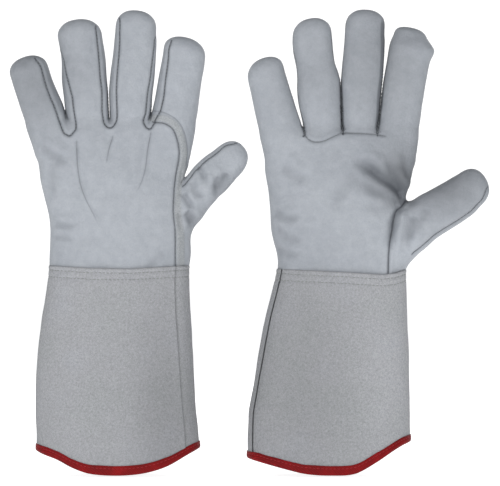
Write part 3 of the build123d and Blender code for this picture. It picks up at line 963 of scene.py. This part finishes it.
class Creases:
    """Every seam, tuck and fold of one hand, laid on its skin."""

    def __init__(self, hand):
        self.hand = hand
        glove, palm = hand.glove, hand.glove["palm"]
        sides = {"back": -palm, "palm": palm, "both": palm}
        points, quads = meshed(hand.whole, hand.axes)
        tree = BVHTree.FromPolygons(points.tolist(), quads.tolist())

        def lay(line, seen):
            return on_skin(tree, hand.axes, hand.whole, line, sides[seen])

        self.seams = []
        for name, seen, line, depth, dark, sewn in seams(glove, hand.digits):
            self.seams.append((name, *lay(line, seen), depth, dark, sewn))
            if name == "back":
                self.lap = line
        tucks = [shifted(x, glove["top"], offsets) for (x, _), offsets in zip(glove["crotches"], TUCKS)]
        self.tucks = [lay(curve(line), "back") for line in tucks]
        found = folds(glove, hand.digits)
        self.folds = [(*lay(curve(line), seen), depth, width) for seen, line, depth, width in found]

    def seam_group(self, key, points, normals):
        """How far one group of seams moves each point, how far across its line the point is, and how dark."""
        move, show = np.zeros(len(points)), np.zeros(len(points))
        across, closest = np.full(len(points), LINE_REACH), np.full(len(points), FAR)
        for name, spots, spot_normals, depth, dark, _ in self.seams:
            if name.startswith(("gap", "palm")) != (key == "a"):
                continue
            distance, _, offset = beside(points, normals, spots, spot_normals, 5.0, -0.1)
            move += depth * (0.4 * bell(distance - 2.6, 1.5) - bell(distance, 0.9))
            closer = distance < closest
            closest = np.where(closer, distance, closest)
            across = np.where(closer, np.clip(offset, -LINE_REACH, LINE_REACH), across)
            show = np.where(closer, dark * line_fade(distance), show)
        return move, across, show

    def tuck_group(self, points, normals):
        """The same for the raised tucks on the back."""
        move, show = np.zeros(len(points)), np.zeros(len(points))
        across = np.full(len(points), LINE_REACH)
        for spots, spot_normals in self.tucks:
            distance, index, offset = beside(points, normals, spots, spot_normals, 9.0)
            share = index / (len(spots) - 1)
            fade = np.clip(np.minimum(share + 0.1, 1 - share) * 6, 0, 1) * (1 - 0.45 * share)
            move += fade * (0.6 * bell(distance, 1.0) - 0.5 * bell(distance - 3.0, 1.9))
            close = distance < 4
            across = np.where(close, np.clip(offset, -LINE_REACH, LINE_REACH), across)
            show = np.where(close, 0.42 * fade * line_fade(distance), show)
        return move, across, show

    def fold_group(self, points, normals):
        """How far the soft folds move each point, and how much painted shade they put in their hollows."""
        move, shade = np.zeros(len(points)), np.zeros(len(points))
        for spots, spot_normals, depth, width in self.folds:
            distance, index, _ = beside(points, normals, spots, spot_normals, 3.2 * width)
            share = index / (len(spots) - 1)
            fade = np.clip(np.minimum(0.1 + share * 9, (1 - share) * 3), 0, 1)
            hollow = fade * bell(distance, width)
            move += depth * (0.35 * fade * bell(distance - 2 * width, width) - hollow)
            # painted shade in the fold's hollow
            shade += 0.15 * np.clip(depth, 0, 5) * hollow * (1 - shade)
        return move, shade

    def strip_shade(self, points, normals):
        """Painted shade on the side strips that the palm's view shows along some fingers' edges."""
        shade = np.zeros(len(points))
        for name, (width, dark) in self.hand.glove["shaded"].items():
            digit = self.hand.digits[name]
            s, v = along_digit(digit, points[:, 0], points[:, 2])
            inset = digit_edges(digit, s)[1] - v
            strip = np.clip((width - inset) / 0.7, 0, 1) * np.clip((inset + 2) / 0.7, 0, 1)
            strip *= np.clip(s / 6, 0, 1) * np.clip((digit.tip - 6 - s) / 4, 0, 1)
            shade = np.maximum(shade, dark * strip * (normals[:, 1] * self.hand.glove["palm"] > -0.2))
        return shade

    def flesh_band(self, points, normals):
        """1 on the lapped strip beside the back seam, where the leather's rough side shows, fading to 0."""
        inner = np.insert(self.lap, 1, 0, axis=1)
        flat = points * (1, 0, 1)
        distance, index = nearest(flat, inner, 9.0)
        near = inner[np.maximum(index, 1)]
        way = near - inner[np.maximum(index, 1) - 1]
        offset = flat - near
        beyond = distance * np.where(way[:, 2] * offset[:, 0] < way[:, 0] * offset[:, 2], 1, -1)
        width = np.interp(index / (len(inner) - 1), [0, 0.1, 0.5, 1], [6.5, 6.5, 6.0, 8.0])
        band = np.clip((beyond - 0.4) / 0.8, 0, 1) * np.clip((width - beyond) / 1.2, 0, 1)
        return np.where(self.hand.glove["palm"] * normals[:, 1] < 0.1, band, 0)

    def swell(self, points, normals):
        """How far the leather bulges, more where it is gathered into the cuff."""
        wave = layered_noise(points * (1, 0.6, 1), ((0.95, 29.0, 3), (0.5, 13.0, 5), (0.16, 5.5, 7)))
        gather = np.clip((180 - points[:, 2]) / 26, 0, 1)
        wave += gather * 0.5 * noise(points, (9.0, 14.0, 30.0), 11)
        return wave * (0.35 + 0.65 * np.abs(normals[:, 1]))

    def shape(self, points, normals):
        """How far each point moves outwards, and the values its material reads."""
        gap = self.hand.next_surface(points)
        side_on = np.clip((np.abs(normals[:, 0]) - 0.4) / 0.3, 0, 1)
        move, shade = self.fold_group(points, normals)
        values = {"tone": dye_and_light_tone_at(self.hand.side, points), "flesh": self.flesh_band(points, normals)}
        groups = {key: self.seam_group(key, points, normals) for key in ("a", "b")}
        groups["c"] = self.tuck_group(points, normals)
        for key, (shift, across, show) in groups.items():
            move += shift
            values[f"seam_{key}"], values[f"dark_{key}"] = across, show
        # Painted shade on the fingers' sides where a neighbour is close, joined with the folds' and the strips'
        # painted shade.
        painted_gap_shade = 0.9 * side_on * (1 - np.clip(gap / 3.5, 0, 1))
        values["shade"] = np.maximum.reduce([shade, painted_gap_shade, self.strip_shade(points, normals)])
        move += 0.35 * values["flesh"] + self.swell(points, normals)
        calm = 1 - side_on * (1 - np.clip(gap / 4, 0, 1))
        return move * calm, values


def make_skin(hand, creases, name):
    """One skin piece, from the meshed field and its creases. Gives the tree of all its faces."""
    axes, field = hand.part(name)
    shell = np.maximum(field, -(field + WALL))
    shell = np.maximum(shell, np.broadcast_to(HAND_FOOT - axes[2], field.shape))
    points, quads = meshed(shell, axes)
    normals = outward(axes, field, points)
    outside = sampled(field, axes, points) > -WALL / 2
    for _ in range(2):  # settles the points on the surface, except along the skin's end
        excess = sampled(field, axes, points) + np.where(outside, 0, WALL)
        level = points[:, 2] > HAND_FOOT + 0.6
        points = points - normals * np.where(level, np.clip(excess, -0.5, 0.5), 0)[:, None]
    normals = outward(axes, field, points)
    move, values = creases.shape(points, normals)
    if name == "hand":
        move -= LAP_DROP * np.clip(hand.owner_of(points)[1] / 1.5, 0, 1)
    moved = points + normals * move[:, None]
    shading = vertex_normals(moved, quads)
    if (shading * normals).sum(axis=1)[outside].mean() < 0:
        quads = quads[:, ::-1]
        shading = -shading
    faces = quads[hand.keeps(name, points[quads].mean(axis=1))]
    used, compact = np.unique(faces, return_inverse=True)
    values = {key: value[used] for key, value in values.items()}
    compact = compact.reshape(-1, 4)
    label = f"{hand.side}_{name}_skin"
    skin = mesh_object(label, moved[used], compact, hand.side, LEATHER, shading[used], **values)
    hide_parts(*[f"{hand.side}_{node}" for node in NODES[name]])
    hand.attach(skin, name)
    return BVHTree.FromPolygons(moved.tolist(), quads.tolist())


def make_hand(side):
    """The hand's skins and the stitches of their seams."""
    hand = Hand(side)
    creases = Creases(hand)
    trees = {name: make_skin(hand, creases, name) for name in ("hand", *hand.digits)}
    found = {}
    for name, spots, spot_normals, _, _, sewn in creases.seams:
        if not sewn:
            continue
        places = spaced(spots, spot_normals, 2.6 if name.startswith(("gap", "inside")) else 3.0)
        closest, beyond = hand.owner_of(places[0])
        for place, tangent, normal, owner in zip(*places, np.where(beyond > 0, closest, "hand")):
            hit, _, _, gap = trees[owner].find_nearest(Vector(place))
            if gap < 3:
                found.setdefault(owner, []).append((np.array(hit) + normal * 0.1, tangent, normal))
    for name, rows in found.items():
        hand.attach(stitch_piece(f"{side}_{name}_stitches", side, zip(*rows), 1.8, 0.3, THREAD), name)


# ---------------------------------------------------------------- the cuff


HEM_RAISE = 1.7  # the hem stands this much above its table, as the near camera looks down on it
STITCH_ROWS = (3.5, 8.5)  # the rows that hold the hand in the cuff, down from the cuff's top
SEAM_INSETS = (10.0, 3.6)  # the cuff's two seams, in from the edges on the thumb's side and opposite
MIDDLE_HEIGHT = 80.0
FOLD_UP = 0.9  # how far the panels' ends stand inside the folded tape


def cuff_surface(glove, turn, height):
    """Outer point of the cuff at angles and heights, before its waves. 0 faces the thumb, 90 the palm."""
    low, high, deep = section(glove, "cuff", height)
    cos, sin = np.cos(turn), np.sin(turn)
    x = (low + high) / 2 + (high - low) / 2 * np.sign(cos) * np.abs(cos) ** (2 / CUFF_POWER)
    y = deep / 2 * np.sign(sin) * np.abs(sin) ** (2 / CUFF_POWER)
    return np.stack([x, glove["palm"] * y, height * np.ones_like(x)], axis=-1)


def cuff_normals(glove, turn, height):
    a = cuff_surface(glove, turn + 0.01, height) - cuff_surface(glove, turn - 0.01, height)
    b = cuff_surface(glove, turn, height + 0.5) - cuff_surface(glove, turn, height - 0.5)
    return unit(np.cross(a, b) * glove["palm"])


def cuff_waves(glove, points):
    """How far the cuff's leather stands off its plain section."""
    shift = 200 if glove["palm"] < 0 else 0  # so that the two cuffs differ
    at = points.reshape(-1, 3) * (1, 0.7, 0.8) + (shift, 0, 0)
    return layered_noise(at, ((1.1, 46.0, 21), (0.5, 19.0, 23), (0.16, 8.0, 25))).reshape(points.shape[:-1])


def even_turns(glove, count):
    """Angles once round the cuff, evenly spaced along its section."""
    fine = np.linspace(0, 2 * math.pi, 1200)
    run = run_of(cuff_surface(glove, fine, np.full(1200, MIDDLE_HEIGHT)))
    return np.interp(np.linspace(0, run[-1], count), run, fine)


def seam_turns(glove, heights):
    """Angles of the cuff's two seams at heights: on the back near the thumb and on the palm side opposite."""
    low, high, _ = section(glove, "cuff", heights)
    thumb, little = (
        np.arccos(np.clip(1 - inset / ((high - low) / 2), 0, 1) ** (CUFF_POWER / 2)) for inset in SEAM_INSETS
    )
    return -thumb, math.pi - little


def cuff_rim(glove, turn):
    """Hem height and top height of the cuff at angles."""
    hem = curve(glove["hem"], 1.0)
    tops = np.array(glove["cuff_top"], float)
    low_x = cuff_surface(glove, turn, np.full(np.shape(turn), 12.0))[..., 0]
    top_x = cuff_surface(glove, turn, np.full(np.shape(turn), 158.0))[..., 0]
    return np.interp(low_x, hem[:, 0], hem[:, 1]) + HEM_RAISE, np.interp(top_x, tops[:, 0], tops[:, 1])


def panel_surface(glove, panel, columns, rows):
    """A panel's outer and inner points as grids, and how dark its seam edges and the painted shadow under its
    top edge make them.
    """
    share = np.linspace(0, 1, columns)[:, None]
    level = np.linspace(0, 1, rows)[None, :]
    height = np.full((columns, rows), MIDDLE_HEIGHT)
    for _ in range(2):  # the seams' angles depend on the height, and the height on the angle
        first, last = seam_turns(glove, height)
        if panel == "back":
            last = last - 2 * math.pi
        turn = first + (last - first) * share
        hem, top = cuff_rim(glove, turn)
        height = hem + FOLD_UP + (top - hem - FOLD_UP) * level
    base = cuff_surface(glove, turn, height)
    normal = cuff_normals(glove, turn, height)
    edge = np.minimum(share, 1 - share) * 165.0 * np.ones_like(height)
    rim = top - height
    lap = 0.45 if panel == "back" else -0.45
    lift = cuff_waves(glove, base) + lap * bell(edge, 5.0) - 0.5 * bell(edge, 0.7)
    lift += 0.35 * bell(rim, 3.0) - 0.55 * bell(rim, 0.55)
    lift -= 0.4 * sum(bell(rim - row, 0.9) for row in STITCH_ROWS)
    dark = 0.75 * bell(edge, 0.75) if panel == "back" else 0.5 * bell(edge, 0.6)
    # painted shadow under the cuff's top edge
    dark = np.maximum(dark, 0.45 * bell(rim, 0.5))
    return base + normal * lift[..., None], base + normal * (lift[..., None] - CUFF_WALL), dark


def panel_faces(columns, rows, handed):
    """Faces of a panel's outer sheet, and of its inner sheet with the four edges."""
    outer = np.arange(columns * rows).reshape(columns, rows)
    inner = outer + columns * rows

    def sheet(grid, flip):
        corners = [grid[:-1, :-1], grid[1:, :-1], grid[1:, 1:], grid[:-1, 1:]]
        return flipped(np.stack(corners, axis=-1).reshape(-1, 4), flip)

    rest = [sheet(inner, handed)]
    for place, flip in (
        (np.s_[:, 0], handed), (np.s_[:, -1], not handed), (np.s_[0, :], not handed), (np.s_[-1, :], handed),
    ):
        a, b = outer[place], inner[place]
        rest.append(flipped(np.stack([a[:-1], b[:-1], b[1:], a[1:]], axis=-1), flip))
    return sheet(outer, not handed), np.vstack(rest)


def make_cuff(side):
    """Two panels, the tape round the hem and the stitches."""
    glove = GLOVES[side]
    columns, rows = ((190, 170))
    skin_points, skin_faces = [], []
    for panel in ("back", "palm"):
        outer, inner, dark = panel_surface(glove, panel, columns, rows)
        points = np.vstack([outer.reshape(-1, 3), inner.reshape(-1, 3)])
        faces, rest = panel_faces(columns, rows, (glove["palm"] > 0) == (panel == "palm"))
        # dark seam edges and the painted shadow under the top edge, on the outer sheet only
        seam = np.concatenate([dark.ravel(), np.zeros(dark.size)])
        values = {"seam": seam, "tone": dye_and_light_tone_at(side, points)}
        piece = mesh_object(f"{side}_cuff_{panel}", points, np.vstack([faces, rest]), side, SPLIT, **values)
        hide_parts(f"{side}_cuff_{panel}_panel")
        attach(piece, f"{side}_glove")
        skin_faces.append(faces + dark.size * len(skin_points))
        skin_points.append(outer.reshape(-1, 3))
    make_tape(side)
    tree = BVHTree.FromPolygons(np.vstack(skin_points).tolist(), np.vstack(skin_faces).tolist())
    make_cuff_stitches(side, tree)


def loop_on(glove, tree, turn, height):
    """Points and outward normals on the cuff's waved skin at angles and heights."""
    plain = cuff_surface(glove, turn, height)
    normal = cuff_normals(glove, turn, height)
    points = []
    for p, n in zip(plain, normal):
        hit, _, _, _ = tree.ray_cast(Vector(p + n * 8), Vector(-n))
        points.append(np.array(hit) if hit is not None else p)
    return np.array(points), normal


TAPE_SIDE = [  # the tape's section outside: distance out from the wall, share of height and of puckers
    (0.15, 1.0, 0.6), (0.75, 0.985, 0.8), (0.85, 0.93, 1.0), (0.72, 0.80, 1.0), (0.62, 0.70, 0.6),
    (0.82, 0.60, 1.0), (0.92, 0.42, 1.2), (0.86, 0.22, 1.0), (0.55, 0.06, 0.6), (-0.3, -0.04, 0.3),
]
TAPE_INSIDE = [  # and inside
    (-0.3, -0.04, 0.3), (0.55, 0.06, 0.6), (0.86, 0.22, 1.0), (0.92, 0.45, 1.2), (0.7, 0.70, 0.6),
    (0.85, 0.93, 1.0), (0.15, 1.0, 0.6),
]
STITCHED = 4  # the row of the outside that the stitches lie in
LEAN_OVER = 7.5  # the height above the hem that gives the tape its lean


def make_tape(side):
    """The red tape folded over the hem, and its stitches."""
    glove = GLOVES[side]
    count = 460
    turn = even_turns(glove, count + 1)[:-1]
    hem, _ = cuff_rim(glove, turn)
    plain = cuff_surface(glove, turn, hem)
    above = cuff_surface(glove, turn, hem + LEAN_OVER)
    normal = unit(cuff_normals(glove, turn, hem + 6) * (1, 1, 0))
    lift = cuff_waves(glove, cuff_surface(glove, turn, hem + 4))
    wide = 5.0 + 2.0 * np.abs(np.sin(turn)) ** 0.7 + 0.35 * noise(plain, 11.0, 31)
    pucker = layered_noise(plain, ((0.16, 4.2, 33), (0.1, 2.1, 35)))
    half = CUFF_WALL / 2
    profile = [(half + out, up, share) for out, up, share in TAPE_SIDE]
    profile += [(-half - out, up, share) for out, up, share in TAPE_INSIDE]
    grid = []
    for out, up, share in profile:
        centre = plain + (above - plain) * (wide * up / LEAN_OVER)[:, None]
        grid.append(centre + normal * (lift - half + out + share * pucker)[:, None])
    grid = np.array(grid)
    index = np.arange(len(profile) * count).reshape(len(profile), count)
    ahead = np.roll(index, -1, axis=1)
    after, ahead_after = np.roll(index, -1, axis=0), np.roll(ahead, -1, axis=0)
    faces = flipped(np.stack([index, ahead, ahead_after, after], axis=-1).reshape(-1, 4), glove["palm"] > 0)
    piece = mesh_object(f"{side}_hem_tape", grid.reshape(-1, 3), faces, side, TAPE)
    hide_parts(f"{side}_hem_binding")
    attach(piece, f"{side}_glove")

    line = grid[STITCHED] + normal * 0.1
    places = spaced(np.vstack([line, line[:1]]), np.vstack([normal, normal[:1]]), 3.1)
    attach(stitch_piece(f"{side}_hem_stitches", side, places, 2.2, 0.27, RED_THREAD), f"{side}_glove")


def make_cuff_stitches(side, tree):
    """Two rows that hold the hand in the cuff, and one row beside each of the cuff's seams."""
    glove = GLOVES[side]
    turn = even_turns(glove, 361)
    _, top = cuff_rim(glove, turn)
    rows = [spaced(*loop_on(glove, tree, turn, top - row), 3.0) for row in STITCH_ROWS]
    place, tangent, normal = joined(rows)
    places = (place + normal * 0.05, tangent, normal)
    piece = stitch_piece(f"{side}_cuff_row_stitches", side, places, 2.1, 0.3, PALE_THREAD)
    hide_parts(f"{side}_cuff_seam_thread")
    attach(piece, f"{side}_glove")

    heights = np.linspace(24, 150, 140)
    thumb, little = seam_turns(glove, heights)
    rows = [spaced(*loop_on(glove, tree, turns, heights), 3.2) for turns in (thumb + 0.035, little - 0.03)]
    place, tangent, normal = joined(rows)
    places = (place - normal * 0.1, tangent, normal)
    piece = stitch_piece(f"{side}_cuff_side_stitches", side, places, 2.0, 0.25, PALE_THREAD)
    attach(piece, f"{side}_glove")


# ---------------------------------------------------------------- build and stage


mounts = {mount["name"]: mount["pos_m"] for mount in frame["record"]["mounts"]}
OFFSET = {side: mounts[f"{side}_cuff_mouth"][0] / MM for side in GLOVES}
for glove_side in GLOVES:
    make_hand(glove_side)
    make_cuff(glove_side)

LIGHTS = {  # X from the gloves' middle, Y, Z, size, power
    "key": (-0.3, -1.9, 1.2, 0.8, 20),
    "left": (-0.75, -0.75, 0.2, 0.5, 2.2),
    "right": (0.75, -0.75, 0.2, 0.5, 2.2),
    "back_left": (-0.9, 1.7, 1.0, 0.9, 9),
    "back_right": (0.9, 1.7, 1.0, 0.9, 9),
}
EYE = (0.1003, -3.0, 0.1763)
PICTURE_WIDTH = 0.380  # metres across the picture at the gloves
SENSOR = 36
FLOOR_REACH = 30.0


def placed(name, data):
    made = bpy.data.objects.new(name, data)
    bpy.context.scene.collection.objects.link(made)
    return made


def make_floor():
    """A pale floor just under the gloves."""
    level = cad_low.z - 0.0002
    corners = [(x * FLOOR_REACH, y * FLOOR_REACH, level) for x, y in ((-1, -1), (1, -1), (1, 1), (-1, 1))]
    mesh = bpy.data.meshes.new("floor")
    mesh.from_pydata(corners, [], [(0, 1, 2, 3)])
    m = Shading("pale_floor")
    m.put(m.shader.inputs["Emission Color"], (1, 1, 1))
    m.put(m.shader.inputs["Emission Strength"], 0.86)
    m.put(m.shader.inputs["Base Color"], (0.8, 0.8, 0.8))
    m.put(m.shader.inputs["Roughness"], 1.0)
    m.put(m.shader.inputs["Specular IOR Level"], 0.0)
    mesh.materials.append(m.material)
    placed("floor", mesh)


def make_surround():
    """An even surround that looks white but lights the gloves less."""
    world = bpy.data.worlds.new("surround")
    bpy.context.scene.world = world
    world.use_nodes = True
    nodes, links = world.node_tree.nodes, world.node_tree.links
    plain = next(node for node in nodes if node.type == "BACKGROUND")
    seen = nodes.new("ShaderNodeBackground")
    for node, colour, strength in ((plain, (0.97, 0.985, 1, 1), 0.26), (seen, (1, 1, 1, 1), 1.15)):
        node.inputs["Color"].default_value = colour
        node.inputs["Strength"].default_value = strength
    mix = nodes.new("ShaderNodeMixShader")
    out = next(node for node in nodes if node.type == "OUTPUT_WORLD")
    links.new(nodes.new("ShaderNodeLightPath").outputs["Is Camera Ray"], mix.inputs[0])
    links.new(plain.outputs[0], mix.inputs[1])
    links.new(seen.outputs[0], mix.inputs[2])
    links.new(mix.outputs[0], out.inputs["Surface"])


def make_lights():
    """Soft lights, all turned to the gloves' middle."""
    centre = (cad_low + cad_high) / 2
    for name, (x, y, z, size, power) in LIGHTS.items():
        light = bpy.data.lights.new(name, "AREA")
        light.shape = "RECTANGLE"
        light.size = light.size_y = size
        light.energy = power
        lamp = placed(name, light)
        lamp.location = (centre.x + x, y, z)
        towards = Vector((centre.x, 0, centre.z)) - lamp.location
        lamp.rotation_euler = towards.to_track_quat("-Z", "Y").to_euler()


def make_camera():
    camera = bpy.data.cameras.new("camera")
    camera.sensor_width = SENSOR
    camera.lens = SENSOR * -EYE[1] / PICTURE_WIDTH
    camera.clip_end = 200
    eye = placed("camera", camera)
    eye.location = EYE
    eye.rotation_euler = (math.radians(90), 0, 0)
    bpy.context.scene.camera = eye


bpy.context.scene.view_settings.view_transform = "Standard"
make_floor()
make_surround()
make_lights()
make_camera()
